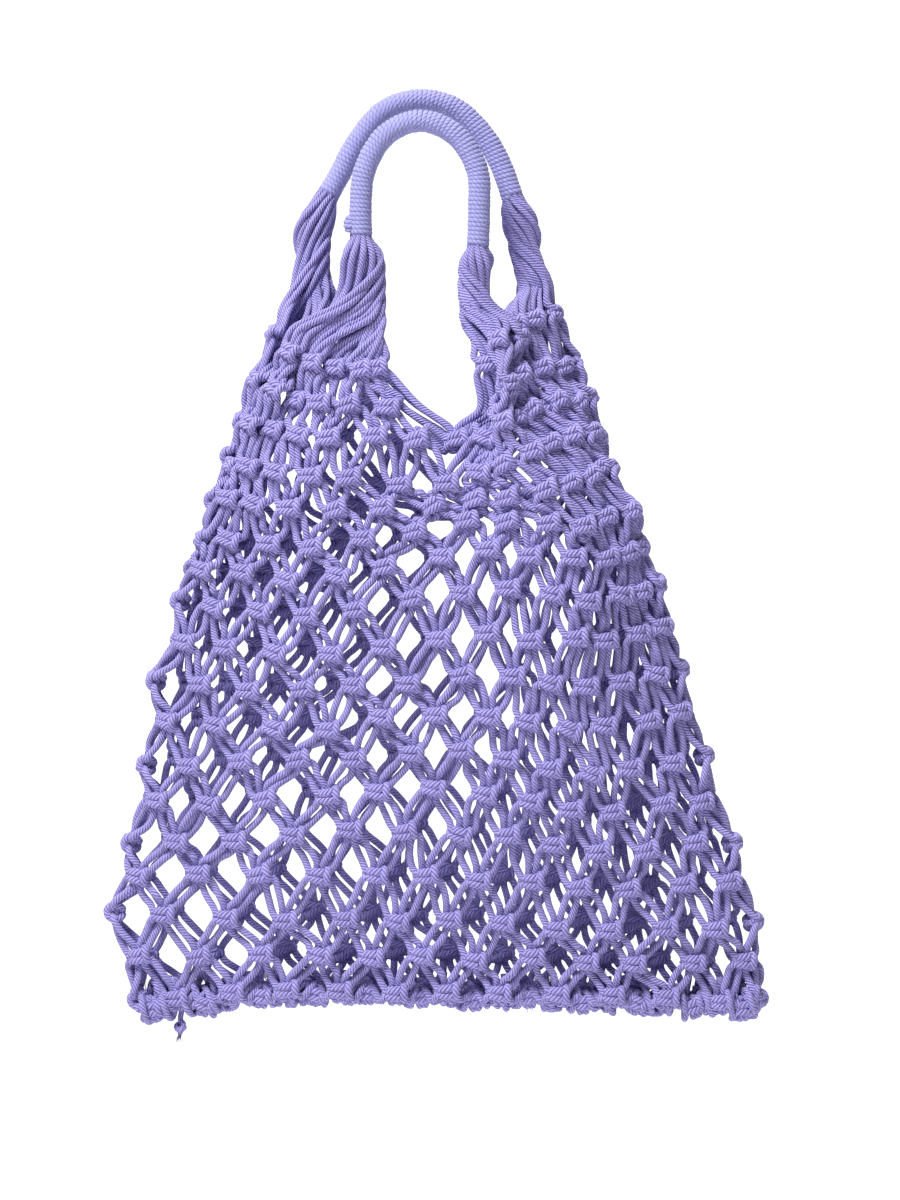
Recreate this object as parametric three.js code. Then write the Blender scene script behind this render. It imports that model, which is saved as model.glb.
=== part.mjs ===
// A knotted net bag of cotton cord, hanging from its two wrapped grips.
// Millimetres, +Z up, +X to the right, the front of the bag faces -Y.
// The origin is the underside of the front grip's arch, where a hand or hook holds the bag.

import * as THREE from 'three';

// Driving sizes
const bagWidth = 390;
const bagDrop = 540;
const bagDepth = 72;
const netThickness = 5;
const knotWidth = 17;
const knotRelief = 2.6;
const columnCount = 24;
const ringCount = 17;
const gripThickness = 13;
const gripSpacing = 25;
const frontGripSpan = 70;
const frontGripRise = 70;
const backGripSpan = 112;
const backGripRise = 58;
const backGripLift = 15.8;
const gripOffset = -3;
const legRibRelief = 0.7;
const seamHeight = 13;
const seamDepth = 24;
const seamLump = 2.2;
const leftCornerSink = 5;
const rightCornerSink = 3;
const tailThickness = 8;
const tailLength = 9;
const wrapEndThickness = 5.5;
const wrapEndLength = 11;
const neckGape = 18;
const neckSag = 20;
const foldRelief = 9;
const touchGap = 0.3;

// Facets
const gripSides = 12;
const gripSteps = 20;
const seamUnderSides = 7;

// Cotton, as the photo shows it
const cordCotton = { color: 0x8f7fd6, roughness: 0.95, metalness: 0 };
const gripCotton = { color: 0xa89ce6, roughness: 0.9, metalness: 0 };

// The net is a tube of 24 columns of knots. Columns run round it from the left edge (-1) over the
// front (5 is the front neck) to the right edge (11) and back over the rear (17 is the rear neck).
// Rings count down from 0, where the legs begin, to 17 in the bottom seam.
const firstStation = -1;
const stationStep = 3;
const stationNames = [
  'left', 'frontLeftLeg', 'frontNeck', 'frontRightLeg', 'right', 'rearRightLeg', 'rearNeck', 'rearLeftLeg',
];

// Places across, as shares of the bag's width, measured from the line below the hang point
const across = [
  { ring: 0, left: -0.226, frontLeftLeg: -0.14, frontNeck: 0.028, frontRightLeg: 0.106, right: 0.13,
    rearRightLeg: 0.182, rearNeck: 0.008, rearLeftLeg: -0.193 },
  { ring: 1, left: -0.245, frontLeftLeg: -0.15, frontNeck: 0.045, frontRightLeg: 0.102, right: 0.158,
    rearRightLeg: 0.212, rearNeck: 0.02, rearLeftLeg: -0.226 },
  { ring: 3, left: -0.3, frontLeftLeg: -0.174, frontNeck: 0.03, frontRightLeg: 0.158, right: 0.238,
    rearRightLeg: 0.258, rearNeck: 0.03, rearLeftLeg: -0.255 },
  { ring: 5, left: -0.341, frontLeftLeg: -0.168, frontNeck: 0.06, frontRightLeg: 0.24, right: 0.318,
    rearRightLeg: 0.27, rearNeck: 0.055, rearLeftLeg: -0.235 },
  { ring: 7, left: -0.378, frontLeftLeg: -0.18, frontNeck: 0.057, frontRightLeg: 0.25, right: 0.352,
    rearRightLeg: 0.265, rearNeck: 0.057, rearLeftLeg: -0.2 },
  { ring: 9, left: -0.41, frontLeftLeg: -0.188, frontNeck: 0.057, frontRightLeg: 0.248, right: 0.39,
    rearRightLeg: 0.262, rearNeck: 0.057, rearLeftLeg: -0.2 },
  { ring: 11, left: -0.43, frontLeftLeg: -0.188, frontNeck: 0.054, frontRightLeg: 0.25, right: 0.43,
    rearRightLeg: 0.272, rearNeck: 0.07, rearLeftLeg: -0.18 },
  { ring: 13, left: -0.449, frontLeftLeg: -0.197, frontNeck: 0.052, frontRightLeg: 0.266, right: 0.464,
    rearRightLeg: 0.296, rearNeck: 0.088, rearLeftLeg: -0.165 },
  { ring: 15, left: -0.472, frontLeftLeg: -0.2, frontNeck: 0.035, frontRightLeg: 0.283, right: 0.5,
    rearRightLeg: 0.32, rearNeck: 0.075, rearLeftLeg: -0.158 },
  { ring: 17, left: -0.443, frontLeftLeg: -0.205, frontNeck: 0.035, frontRightLeg: 0.283, right: 0.508,
    rearRightLeg: 0.32, rearNeck: 0.075, rearLeftLeg: -0.16 },
];

// Drops below the hang point, as shares of the bag's drop. The rear hangs higher near its legs.
const down = [
  { ring: 0, left: 0.225, leg: 0.261, neck: 0.262, rightLeg: 0.232, right: 0.217, rearRise: 0.03 },
  { ring: 1, left: 0.275, leg: 0.297, neck: 0.29, rightLeg: 0.279, right: 0.263, rearRise: 0.026 },
  { ring: 3, left: 0.364, leg: 0.38, neck: 0.39, rightLeg: 0.357, right: 0.336, rearRise: 0.014 },
  { ring: 5, left: 0.446, leg: 0.457, neck: 0.432, rightLeg: 0.432, right: 0.416, rearRise: 0.006 },
  { ring: 7, left: 0.52, leg: 0.533, neck: 0.509, rightLeg: 0.514, right: 0.502, rearRise: 0.006 },
  { ring: 9, left: 0.606, leg: 0.618, neck: 0.599, rightLeg: 0.61, right: 0.593, rearRise: 0.006 },
  { ring: 11, left: 0.696, leg: 0.696, neck: 0.682, rightLeg: 0.706, right: 0.692, rearRise: 0.006 },
  { ring: 13, left: 0.785, leg: 0.776, neck: 0.773, rightLeg: 0.792, right: 0.781, rearRise: 0.004 },
  { ring: 15, left: 0.865, leg: 0.867, neck: 0.87, rightLeg: 0.88, right: 0.874, rearRise: 0.002 },
  { ring: 17, left: 0.962, leg: 0.949, neck: 0.951, rightLeg: 0.956, right: 0.967, rearRise: 0 },
];

// Fullness from front to rear, as shares of the bag's depth; the raised fold that runs down from
// the front right leg, as a share of its relief; how many columns of the rear are drawn round to
// the front at each edge; and the columns between which the net hangs open
const fullness = [
  { ring: 0, depth: 0.62, fold: 0.3, edgeShift: 2, openFrom: 3, openTo: 3 },
  { ring: 1, depth: 0.7, fold: 0.7, edgeShift: 1.9, openFrom: 3, openTo: 3 },
  { ring: 3, depth: 0.84, fold: 1, edgeShift: 1.3, openFrom: 2, openTo: 5 },
  { ring: 5, depth: 0.94, fold: 1, edgeShift: 0.7, openFrom: 1.2, openTo: 5.2 },
  { ring: 7, depth: 1, fold: 0.6, edgeShift: 0.3, openFrom: 1, openTo: 5.5 },
  { ring: 9, depth: 1, fold: 0.2, edgeShift: 0, openFrom: 0.8, openTo: 6 },
  { ring: 11, depth: 0.92, fold: 0, edgeShift: 0, openFrom: 0, openTo: 6.5 },
  { ring: 13, depth: 0.76, fold: 0, edgeShift: 0, openFrom: 0, openTo: 7 },
  { ring: 15, depth: 0.54, fold: 0, edgeShift: 0, openFrom: 4, openTo: 4 },
  { ring: 17, depth: 0.34, fold: 0, edgeShift: 0, openFrom: 4, openTo: 4 },
];

const frontNeckColumn = 5;
const rightJoinColumn = 11;
const rearNeckColumn = 17;
const edgeStations = [stationNames.indexOf('left'), stationNames.indexOf('right')];
const edgeTurn = 0.7;
const foldColumn = 7.6;
const foldReach = 1.2;
const gapeReach = 1.6;
const sagReach = 0.8;
const sectionFlatness = 0.6;
const rimRing = -0.3;
const seamRing = 16.8;
const knotHalfRings = 0.3;

// Each grip's centre line, as shares of its span and of its rise below the top of its arch
const frontArch = [
  { across: -0.5, below: 1 }, { across: -0.505, below: 0.72 }, { across: -0.47, below: 0.42 },
  { across: -0.29, below: 0.12 }, { across: 0, below: 0 }, { across: 0.29, below: 0.12 },
  { across: 0.47, below: 0.42 }, { across: 0.5, below: 0.74 }, { across: 0.495, below: 1.09 },
];
const backArch = [
  { across: -0.5, below: 1 }, { across: -0.44, below: 0.8 }, { across: -0.34, below: 0.44 },
  { across: -0.19, below: 0.11 }, { across: 0, below: 0 }, { across: 0.19, below: 0.09 },
  { across: 0.35, below: 0.39 }, { across: 0.435, below: 0.68 }, { across: 0.5, below: 1.03 },
];

// A leg opens from the round foot of its grip to a flat fan. Rows are its sections, with the drop
// and the opening as shares of the way to the net, and the girth as shares of the grip's.
const legSections = [
  { drop: 0, opening: 0, girth: 0.96 },
  { drop: 0.08, opening: 0.01, girth: 1.5 },
  { drop: 0.18, opening: 0.04, girth: 2 },
  { drop: 0.36, opening: 0.13, girth: 2.1 },
  { drop: 0.54, opening: 0.33, girth: 2.07 },
  { drop: 0.7, opening: 0.65, girth: 1.9 },
  { drop: 0.86, opening: 0.9, girth: 1.3 },
  { drop: 1, opening: 1, girth: 1 },
];

// Which grip foot each leg hangs from, its first column of knots, how far its cords turn, how much
// of the swelling below the grip it has, and how late it opens
const legs = [
  { name: 'leg_front_left', foot: 'frontLeft', firstColumn: -0.5, turn: 0.8, swelling: 1.1, delay: 1.5 },
  { name: 'leg_front_right', foot: 'frontRight', firstColumn: 5.5, turn: -0.8, swelling: 0.8, delay: 1.3 },
  { name: 'leg_back_right', foot: 'backRight', firstColumn: 11.5, turn: 0.7, swelling: 0.72, delay: 2.4 },
  { name: 'leg_back_left', foot: 'backLeft', firstColumn: 17.5, turn: -0.7, swelling: 0.86, delay: 1.7 },
];
const legFlatness = 0.7;
const leaveReach = 0.18;
const thinning = 0.4;
const columnsPerLeg = 6;

// One curve down the rings for each station round the net
function ringCurves(rows, readRow) {
  const rings = rows.map((row) => row.ring);
  const values = rows.flatMap(readRow);
  return new THREE.CubicInterpolant(rings, values, values.length / rings.length);
}

const acrossCurves = ringCurves(across, (row) => stationNames.map((name) => row[name]));
const downCurves = ringCurves(down, (row) => [
  row.left, row.leg, row.neck, row.rightLeg, row.right,
  row.rightLeg - row.rearRise, row.neck - row.rearRise, row.leg - row.rearRise,
]);
const fullnessCurves = ringCurves(fullness, (row) => [row.depth, row.fold, row.edgeShift]);
const openRows = new THREE.LinearInterpolant(
  fullness.map((row) => row.ring), fullness.flatMap((row) => [row.openFrom, row.openTo]), 2);

// A smooth closed curve through the eight stations of one ring. At an edge, where the net turns from
// front to rear, edgeShare of the slope comes from its own side, so that the columns stay evenly spaced.
function roundTheRing(values, column, edgeShare = 0) {
  const count = values.length;
  const place = (column - firstStation) / stationStep;
  const start = Math.floor(place);
  const part = place - start;
  const at = (index) => values[((index % count) + count) % count];
  const [before, from, to, after] = [at(start - 1), at(start), at(start + 1), at(start + 2)];
  const ownSlope = edgeTurn * (to - from);
  const shareAt = (index) => (edgeStations.includes(((index % count) + count) % count) ? edgeShare : 0);
  const slopeFrom = THREE.MathUtils.lerp((to - before) / 2, ownSlope, shareAt(start));
  const slopeTo = THREE.MathUtils.lerp((after - from) / 2, ownSlope, shareAt(start + 1));
  const square = part * part;
  const cube = square * part;
  return (2 * cube - 3 * square + 1) * from + (cube - 2 * square + part) * slopeFrom
    + (3 * square - 2 * cube) * to + (cube - square) * slopeTo;
}

// Signed distance in columns, the short way round the net
function columnsFrom(column, target) {
  const turns = Math.round((column - target) / columnCount);
  return column - target - turns * columnCount;
}

// How much a ring belongs to the open necks: the pull apart ends after ring 3, the sag after ring 2
function fade(ring, last) {
  return THREE.MathUtils.clamp((last - ring) / (last - 1), 0, 1);
}

// A point in the middle of the net's thickness
function netPoint(column, ring) {
  const edgeShare = THREE.MathUtils.clamp(ring / 2, 0, 1);
  const acrossShare = roundTheRing(acrossCurves.evaluate(Math.max(ring, 0)), column, edgeShare);
  const downShare = roundTheRing(downCurves.evaluate(Math.max(ring, 0)), column);
  const [depthShare, foldShare, edgeShift] = fullnessCurves.evaluate(Math.max(ring, 0));
  const fromFront = Math.abs(columnsFrom(column, frontNeckColumn));
  const frontHalf = columnCount / 4 + edgeShift;
  const rearHalf = columnCount / 4 - edgeShift;
  const isFront = fromFront <= frontHalf;
  const fromEdge = isFront ? (frontHalf - fromFront) / frontHalf : (fromFront - frontHalf) / rearHalf;
  const bulge = Math.sin(Math.PI / 2 * fromEdge) ** sectionFlatness * (isFront ? -1 : 1);
  const point = new THREE.Vector3(
    bagWidth * acrossShare, bagDepth / 2 * depthShare * bulge, -bagDrop * downShare);
  for (const neck of [frontNeckColumn, rearNeckColumn]) {
    const offset = columnsFrom(column, neck);
    const facing = neck === frontNeckColumn ? 1 : -1;
    const besideNeck = Math.exp(-Math.max(Math.abs(offset) - 0.5, 0) / gapeReach);
    const atNeck = Math.exp(-Math.abs(offset) / sagReach);
    point.x += neckGape * facing * Math.sign(offset) * besideNeck * fade(ring, 3);
    point.z -= neckSag * atNeck * fade(ring, 2) * Math.min(Math.max(ring, 0), 1);
  }
  const fold = Math.exp(-((columnsFrom(column, foldColumn) / foldReach) ** 2));
  point.y -= foldRelief * foldShare * fold;
  if (ring < 0) {
    const pitch = netPoint(column, 1).z - netPoint(column, 0).z;
    point.z += ring * pitch;
  }
  return point;
}

// Outward direction of the net at a place
function netNormal(column, ring) {
  const step = 0.25;
  const upper = Math.max(ring - step, 0);
  const lower = Math.min(upper + 2 * step, ringCount);
  const alongRing = netPoint(column + step, Math.max(ring, 0))
    .sub(netPoint(column - step, Math.max(ring, 0)));
  const alongColumn = netPoint(column, lower).sub(netPoint(column, upper));
  return alongColumn.cross(alongRing).normalize();
}

function facePoint(column, ring, lift) {
  return netPoint(column, ring).addScaledVector(netNormal(column, ring), lift);
}

// Half a knot's width, in columns: less than half a column where the net is drawn together
function knotHalfColumns(column, ring) {
  const pitch = netPoint(column + 0.5, ring).distanceTo(netPoint(column - 0.5, ring));
  return THREE.MathUtils.clamp(knotWidth / 2 / pitch, 0.2, 0.34);
}

function isOpenCell(column, ring) {
  const fromFront = Math.abs(columnsFrom(column, frontNeckColumn)) < columnCount / 4;
  const frontColumn = fromFront ? column : 2 * rightJoinColumn - column;
  const wrapped = frontNeckColumn + columnsFrom(frontColumn, frontNeckColumn);
  const [from, to] = openRows.evaluate(ring);
  return ring >= 3 && ring <= 13 && wrapped >= from && wrapped <= to;
}

function closedMeshGeometry(points, triangles) {
  const geometry = new THREE.BufferGeometry();
  const positions = points.flatMap((point) => point.toArray());
  geometry.setAttribute('position', new THREE.Float32BufferAttribute(positions, 3));
  geometry.setIndex(triangles.flat());
  geometry.computeVertexNormals();
  return geometry;
}

// The net: knots joined by slanting pairs of cords, with the cells between them open where the
// bag hangs open and closed where its cords lie side by side
function netGeometry() {
  const points = [];
  const faces = [];
  const knots = [];
  for (let ring = 0; ring <= ringCount; ring += 1) {
    const row = [];
    for (let index = 0; index < columnCount; index += 1) {
      const column = firstStation + index + (ring % 2 === 0 ? 0.5 : 0);
      const half = knotHalfColumns(column, ring);
      const sideRing = ring === 0 ? rimRing : Math.min(ring, seamRing);
      const addPoint = (c, r, lift = 0) => points.push({ column: c, ring: r, lift }) - 1;
      const knot = { column, east: addPoint(column + half, sideRing), west: addPoint(column - half, sideRing) };
      if (ring > 0) {
        knot.north = addPoint(column, ring - knotHalfRings);
      }
      if (ring < ringCount) {
        knot.south = addPoint(column, ring + knotHalfRings);
      }
      if (ring > 0 && ring < ringCount) {
        knot.centre = addPoint(column, ring, knotRelief);
      }
      row.push(knot);
    }
    knots.push(row);
  }
  const knotAt = (ring, index) => knots[ring][((index % columnCount) + columnCount) % columnCount];
  const leftAbove = (ring, index) => knotAt(ring - 1, ring % 2 === 0 ? index : index - 1);
  const rightAbove = (ring, index) => knotAt(ring - 1, ring % 2 === 0 ? index + 1 : index);
  const isNeck = (column) => (Math.round(column) - frontNeckColumn) % columnsPerLeg === 0;

  for (let ring = 0; ring <= ringCount; ring += 1) {
    for (let index = 0; index < columnCount; index += 1) {
      const knot = knotAt(ring, index);
      if (ring === 0) {
        faces.push([knot.west, knot.south, knot.east]);
        continue;
      }
      if (ring === ringCount) {
        faces.push([knot.north, knot.west, knot.east]);
      } else {
        const corners = [knot.north, knot.west, knot.south, knot.east];
        corners.forEach((corner, side) => faces.push([corner, corners[(side + 1) % 4], knot.centre]));
      }
      const left = leftAbove(ring, index);
      const right = rightAbove(ring, index);
      faces.push([left.south, knot.west, knot.north, left.east]);
      faces.push([knot.north, knot.east, right.south, right.west]);
      if (ring === 1 && !isNeck(knot.column)) {
        faces.push([left.east, knot.north, right.west]);
      }
      if (ring >= 2 && !isOpenCell(knot.column, ring - 1)) {
        faces.push([knotAt(ring - 2, index).south, left.east, knot.north, right.west]);
      }
      if (ring === ringCount) {
        faces.push([right.south, knot.east, knotAt(ring, index + 1).west]);
      }
    }
  }

  const outer = points.map(({ column, ring, lift }) => facePoint(column, ring, netThickness / 2 + lift));
  const inner = points.map(({ column, ring }) => facePoint(column, ring, -netThickness / 2));
  const pointCount = points.length;
  const triangles = [];
  const edges = new Set();
  for (const face of faces) {
    face.forEach((corner, side) => edges.add(`${corner},${face[(side + 1) % face.length]}`));
    for (let corner = 1; corner < face.length - 1; corner += 1) {
      const [a, b, c] = [face[0], face[corner], face[corner + 1]];
      triangles.push([a, b, c]);
      triangles.push([c + pointCount, b + pointCount, a + pointCount]);
    }
  }
  for (const edge of edges) {
    const [from, to] = edge.split(',').map(Number);
    if (!edges.has(`${to},${from}`)) {
      triangles.push([to, from, from + pointCount]);
      triangles.push([to, from + pointCount, to + pointCount]);
    }
  }
  return closedMeshGeometry([...outer, ...inner], triangles);
}

// A body skinned over a row of sections with equally many points, closed by flat ends
function skinGeometry(sections) {
  const sides = sections[0].length;
  const points = sections.flat();
  const triangles = [];
  for (let level = 0; level < sections.length - 1; level += 1) {
    for (let side = 0; side < sides; side += 1) {
      const next = (side + 1) % sides;
      const [a, b] = [level * sides + side, level * sides + next];
      triangles.push([a, a + sides, b]);
      triangles.push([b, a + sides, b + sides]);
    }
  }
  for (const [first, outward] of [[0, 1], [(sections.length - 1) * sides, -1]]) {
    for (let side = 0; side < sides / 2 - 1; side += 1) {
      const [a, b] = [first + side, first + side + 1];
      const [c, d] = [first + sides - 2 - side, first + sides - 1 - side];
      triangles.push(outward > 0 ? [a, b, c] : [c, b, a]);
      triangles.push(outward > 0 ? [a, c, d] : [d, c, a]);
    }
  }
  return closedMeshGeometry(points, triangles);
}

function circleShape(radius, sides) {
  const points = [];
  for (let side = 0; side < sides; side += 1) {
    const angle = side / sides * 2 * Math.PI;
    points.push(new THREE.Vector2(radius * Math.cos(angle), radius * Math.sin(angle)));
  }
  return new THREE.Shape(points);
}

// A grip: a stiff bundle of cords wrapped round and round, bent into an arch
function gripCurve(arch, span, rise, topZ, y) {
  return new THREE.CatmullRomCurve3(arch.map((row) => (
    new THREE.Vector3(gripOffset + span * row.across, y, topZ - rise * row.below))));
}

const archTop = gripThickness / 2;
const frontGripCurve = gripCurve(frontArch, frontGripSpan, frontGripRise, archTop, -gripSpacing / 2);
const backGripCurve = gripCurve(
  backArch, backGripSpan, backGripRise, archTop + backGripLift, gripSpacing / 2);

function gripGeometry(curve) {
  return new THREE.ExtrudeGeometry(circleShape(gripThickness / 2, gripSides), {
    steps: gripSteps, extrudePath: curve, bevelEnabled: false,
  });
}

// The end of a grip and the direction in which its cords leave it
function footOf(curve, end) {
  const outward = curve.getTangent(end).multiplyScalar(end === 0 ? -1 : 1);
  return { place: curve.getPoint(end), outward };
}

const feet = {
  frontLeft: footOf(frontGripCurve, 0),
  frontRight: footOf(frontGripCurve, 1),
  backLeft: footOf(backGripCurve, 0),
  backRight: footOf(backGripCurve, 1),
};

// The net's upper edge below one leg: its outer side, then its inner side on the way back
function legRim(firstColumn) {
  const columns = [];
  for (let index = 0; index < columnsPerLeg; index += 1) {
    const column = firstColumn + index;
    const half = knotHalfColumns(column, 0);
    columns.push(column - half, column + half);
  }
  const outer = columns.map((column) => facePoint(column, rimRing, netThickness / 2));
  const inner = columns.map((column) => facePoint(column, rimRing, -netThickness / 2));
  const rim = [...outer, ...inner.reverse()];
  rim.forEach((point) => { point.z += touchGap; });
  return rim;
}

// A leg: twenty-four cords that leave the grip as a round bundle, in the direction in which the grip
// ends, and fan out to the net
function legGeometry({ foot, firstColumn, turn, swelling, delay }) {
  const { place, outward } = feet[foot];
  const rim = legRim(firstColumn);
  const start = rim[0].clone().add(rim.at(-1)).sub(rim[columnsPerLeg * 2 - 1]).sub(rim[columnsPerLeg * 2]);
  const startAngle = Math.atan2(start.y, start.x);
  const sideways = new THREE.Vector3(1, 0, 0).addScaledVector(outward, -outward.x).normalize();
  const rearward = outward.clone().cross(sideways);
  const top = place.clone().addScaledVector(outward, touchGap);
  const height = top.z - rim.reduce((sum, point) => sum + point.z, 0) / rim.length;
  return skinGeometry(legSections.map(({ drop, opening, girth }, level) => rim.map((rimPoint, index) => {
    const angle = startAngle + (index + 0.5) / rim.length * 2 * Math.PI + turn * (1 - drop);
    const rib = (index % 2 === 0 ? 1 : -1) * legRibRelief * Math.sin(Math.PI * drop);
    const reach = gripThickness / 2 * (1 + (girth - 1) * swelling) + rib;
    const flat = 1 - (1 - legFlatness) * Math.min(1, drop * 4);
    const gone = leaveReach * (1 - Math.exp(-drop / leaveReach)) * height / -outward.z;
    const bundle = top.clone()
      .addScaledVector(sideways, reach * Math.cos(angle))
      .addScaledVector(rearward, reach * flat * Math.sin(angle) * (rearward.y < 0 ? -1 : 1));
    const lean = outward.clone().multiplyScalar(gone).setZ(0);
    const point = bundle.clone().add(lean).lerp(rimPoint, opening ** delay);
    point.y = THREE.MathUtils.lerp(bundle.y + lean.y, rimPoint.y, opening ** thinning);
    point.z = THREE.MathUtils.lerp(bundle.z, rimPoint.z, drop);
    return level === legSections.length - 1 ? rimPoint : point;
  })));
}

// The net's lower edge on the rear, which the seam draws to the front
const rearEdge = [];
for (let column = rightJoinColumn; column <= columnCount + firstStation; column += 0.25) {
  rearEdge.push(facePoint(column, seamRing, 0));
}

// Height of the seam's top face, below the net's lower edge both in front and at the rear
function seamTop(column) {
  const front = facePoint(column, seamRing, 0);
  const near = rearEdge.filter((point) => Math.abs(point.x - front.x) < knotWidth / 2);
  return Math.min(front.z, ...near.map((point) => point.z)) - touchGap;
}

// How much lower the bunched corners of the seam hang
function cornerSink(column) {
  const left = leftCornerSink * Math.exp(-(((column + 0.4) / 1.1) ** 2));
  return left + rightCornerSink * Math.exp(-(((column - 9.6) / 1.3) ** 2));
}

// The bottom seam: the last ring of knots, drawn together front to rear
function seamGeometry() {
  const stations = [{ column: firstStation, beyond: -knotWidth / 3, size: 0.55 }];
  for (let column = firstStation; column <= rightJoinColumn; column += 1) {
    const half = knotHalfColumns(column, ringCount);
    if (column > firstStation) {
      stations.push({ column: column - half, beyond: 0, size: 1 });
    }
    if (column < rightJoinColumn) {
      stations.push({ column: column + half, beyond: 0, size: 1 });
      stations.push({ column: column + 0.5, beyond: 0, size: 0 });
    }
  }
  stations.push({ column: rightJoinColumn, beyond: knotWidth / 3, size: 0.55 });
  const sections = stations.map(({ column, beyond, size }) => {
    const x = netPoint(column, seamRing).x + beyond;
    const top = seamTop(column);
    const halfDepth = seamDepth / 2 + seamLump * (size - 1) / 2;
    const height = seamHeight + cornerSink(column) + seamLump * (size - 1);
    const section = [];
    for (let side = 0; side <= seamUnderSides; side += 1) {
      const angle = Math.PI * side / seamUnderSides;
      section.push(new THREE.Vector3(x, halfDepth * Math.cos(angle), top - height * Math.sin(angle)));
    }
    return section;
  });
  return skinGeometry(sections);
}

function ellipsoidGeometry(width, height) {
  return new THREE.SphereGeometry(width / 2, 8, 6).rotateX(Math.PI / 2).scale(1, 1, height / width);
}

function addPiece(group, name, geometry, cotton, place = new THREE.Vector3()) {
  const mesh = new THREE.Mesh(geometry, new THREE.MeshStandardMaterial(cotton));
  mesh.name = name;
  mesh.position.copy(place);
  group.add(mesh);
}

const bag = new THREE.Group();
addPiece(bag, 'grip_front', gripGeometry(frontGripCurve), gripCotton);
addPiece(bag, 'grip_back', gripGeometry(backGripCurve), gripCotton);
for (const leg of legs) {
  addPiece(bag, leg.name, legGeometry(leg), cordCotton);
}
addPiece(bag, 'net_body', netGeometry(), cordCotton);
addPiece(bag, 'bottom_seam', seamGeometry(), cordCotton);

// The end of the wrapping cord, tucked in a small lump on the outside of the front left foot
const wrapEndPlace = feet.frontLeft.place.clone();
wrapEndPlace.x -= gripThickness / 2 + touchGap + wrapEndThickness / 2;
wrapEndPlace.z += wrapEndLength * 0.75;
addPiece(bag, 'wrap_end', ellipsoidGeometry(wrapEndThickness, wrapEndLength), gripCotton, wrapEndPlace);

// The last cord's stub, left hanging under the seam near the left corner
const tailColumn = 0;
const tailPlace = netPoint(tailColumn, seamRing);
tailPlace.y = 0;
tailPlace.z = seamTop(tailColumn) - seamHeight - cornerSink(tailColumn) - touchGap - tailLength / 2;
addPiece(bag, 'cord_tail', ellipsoidGeometry(tailThickness, tailLength), cordCotton, tailPlace);

export default bag;
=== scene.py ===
# %% [markdown]
# # A knotted net bag of cotton cord
#
# The bag hangs from two wrapped grips. Ninety-six cords leave the grips, fan out in four legs and
# are tied in ring after ring of square knots until the last ring closes the bottom. This lesson
# makes each cord as one continuous tube that really follows its knots, so that the net shows the
# same bars, loops and gaps as the real one from every side.
#
# First the fixed frame is loaded. Its box is kept.

# %% Load the frame
import math

import bmesh
import bpy
import numpy as np
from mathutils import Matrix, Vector


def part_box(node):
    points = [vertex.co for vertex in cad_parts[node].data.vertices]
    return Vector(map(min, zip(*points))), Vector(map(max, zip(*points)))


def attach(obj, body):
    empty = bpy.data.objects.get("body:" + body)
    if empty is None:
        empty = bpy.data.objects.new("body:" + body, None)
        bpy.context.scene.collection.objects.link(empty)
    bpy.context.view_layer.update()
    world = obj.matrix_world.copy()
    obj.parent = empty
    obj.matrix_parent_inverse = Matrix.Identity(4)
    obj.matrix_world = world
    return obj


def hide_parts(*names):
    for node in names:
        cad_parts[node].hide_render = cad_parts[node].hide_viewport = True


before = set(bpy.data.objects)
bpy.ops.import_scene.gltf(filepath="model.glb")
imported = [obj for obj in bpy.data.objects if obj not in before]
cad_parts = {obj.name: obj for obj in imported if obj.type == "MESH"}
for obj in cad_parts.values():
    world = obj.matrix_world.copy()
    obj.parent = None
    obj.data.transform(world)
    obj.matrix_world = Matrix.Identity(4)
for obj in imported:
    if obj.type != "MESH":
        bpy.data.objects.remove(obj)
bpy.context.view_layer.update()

# %% [markdown]
# The sizes that the whole bag follows, in metres. The cord is 4 mm thick, and the other sizes are
# those of the solids that the frame holds.

# %% Sizes
CORD = 0.004
BAG_WIDTH = 0.390
BAG_DROP = 0.540
BAG_DEPTH = 0.072
COLUMNS = 24
LAST_RING = 17
COLUMNS_PER_LEG = 6
GRIP_THICKNESS = 0.013
GRIP_SPACING = 0.025
FRONT_NECK = 5
REAR_NECK = 17
dice = np.random.default_rng(20)

# %% [markdown]
# The camera looks straight at the front, level and from far off, as the picture of the bag was
# taken: the two halves of the net show no sides and the verticals stay upright. It comes early so
# that every later cell can be judged through it.

# %% Camera
PIXEL = 0.0006
HANG_PIXEL = (425, 134)
FRAME_PIXELS = (900, 1200)
CAMERA_AWAY = 2.6

centre_x = (FRAME_PIXELS[0] / 2 - HANG_PIXEL[0]) * PIXEL
centre_z = (HANG_PIXEL[1] - FRAME_PIXELS[1] / 2) * PIXEL
lens_data = bpy.data.cameras.new("camera")
lens_data.sensor_fit = "VERTICAL"
lens_data.sensor_height = 36.0
lens_data.lens = lens_data.sensor_height * CAMERA_AWAY / (FRAME_PIXELS[1] * PIXEL)
camera = bpy.data.objects.new("camera", lens_data)
camera.location = (centre_x, -CAMERA_AWAY, centre_z)
camera.rotation_euler = (math.radians(90), 0, 0)
bpy.context.collection.objects.link(camera)
bpy.context.scene.camera = camera
print("lens:", round(lens_data.lens, 1), "mm")

# %% [markdown]
# The net hangs on one smooth tube-like surface. A place on it is named by its column, counted round
# the bag from the left edge (-1) over the front neck (5), the right edge (11) and the rear neck
# (17), and by its ring, counted down from the legs (0) to the seam (17). Three short tables say
# where eight stations of each ring lie, as shares of the bag's sizes. Reading a few sections and
# running smooth curves through them keeps the drawn-in right side, the wide foot and the sagging
# necks of the real bag without any long list of points.

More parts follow.
